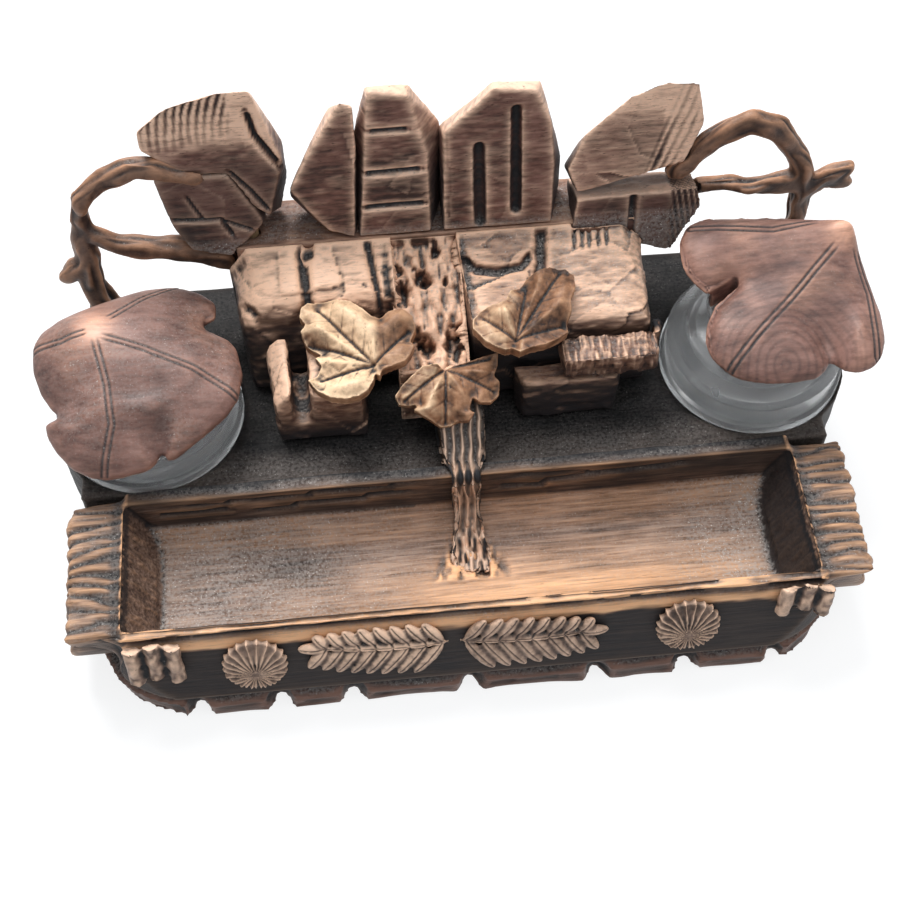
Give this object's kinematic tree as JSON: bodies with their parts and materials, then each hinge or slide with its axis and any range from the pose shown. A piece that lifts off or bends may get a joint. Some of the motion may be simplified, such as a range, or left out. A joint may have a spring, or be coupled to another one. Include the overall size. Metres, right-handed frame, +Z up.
{
  "type": "desk inkstand",
  "caption": "Carved wooden desk inkstand: a rocky bank over a hollow-log pen tray, with lift-out round glass ink wells under peaked leaf lids, branches, leaves and fern fronds.",
  "frame": {"origin": "middle of the base board's underside, on the surface the stand rests on", "axes": "+X along the pen trough to the right, +Y to the back, +Z up"},
  "size_m": [0.3109, 0.1718, 0.156],
  "materials": {
    "walnut": "waxed, dusty",
    "dark_walnut": "dark, waxed",
    "worn_walnut": "worn, satin",
    "lid_walnut": "smooth, satin",
    "clear_glass": "polished",
    "steel": "dull"
  },
  "bodies": {
    "stand": {"base_board": "dark_walnut", "base_screws": "steel", "pen_trough": "walnut", "deck_block": "dark_walnut", "rock_core": "dark_walnut", "ledge_left": "walnut", "ledge_right": "walnut", "spring_gully": "walnut", "boulder_left": "dark_walnut", "boulder_right": "dark_walnut", "slab_right": "worn_walnut", "crag_mid_left": "walnut", "crag_mid_right": "walnut", "crag_inner_left": "walnut", "crag_lower_left": "walnut", "crag_upper_left": "walnut", "crag_lower_right": "walnut", "crag_upper_right": "walnut", "crag_dowels": "worn_walnut", "branch_left": "dark_walnut", "branch_right": "dark_walnut", "water_fall": "worn_walnut", "vine_leaf_left": "worn_walnut", "vine_leaf_right": "worn_walnut", "vine_leaf_middle": "worn_walnut", "frond_left": "walnut", "frond_right": "walnut", "rosette_left": "walnut", "rosette_right": "walnut", "twig_stubs_left": "worn_walnut", "twig_stubs_right": "worn_walnut"},
    "well_left": {"glass_well_left": "clear_glass"},
    "well_right": {"glass_well_right": "clear_glass"},
    "leaf_left": {"lid_left": "lid_walnut", "lid_plug_left": "dark_walnut"},
    "leaf_right": {"lid_right": "lid_walnut", "lid_plug_right": "dark_walnut"}
  },
  "joints": [
    {"name": "well_left_lift", "type": "slide", "parent": "stand", "child": "well_left", "axis": [0, 0, 1], "range_m": [0, 0.06]},
    {"name": "well_right_lift", "type": "slide", "parent": "stand", "child": "well_right", "axis": [0, 0, 1], "range_m": [0, 0.06]},
    {"name": "leaf_left_lift", "type": "slide", "parent": "well_left", "child": "leaf_left", "axis": [0, 0, 1], "range_m": [0, 0.05]},
    {"name": "leaf_right_lift", "type": "slide", "parent": "well_right", "child": "leaf_right", "axis": [0, 0, 1], "range_m": [0, 0.05]}
  ]
}
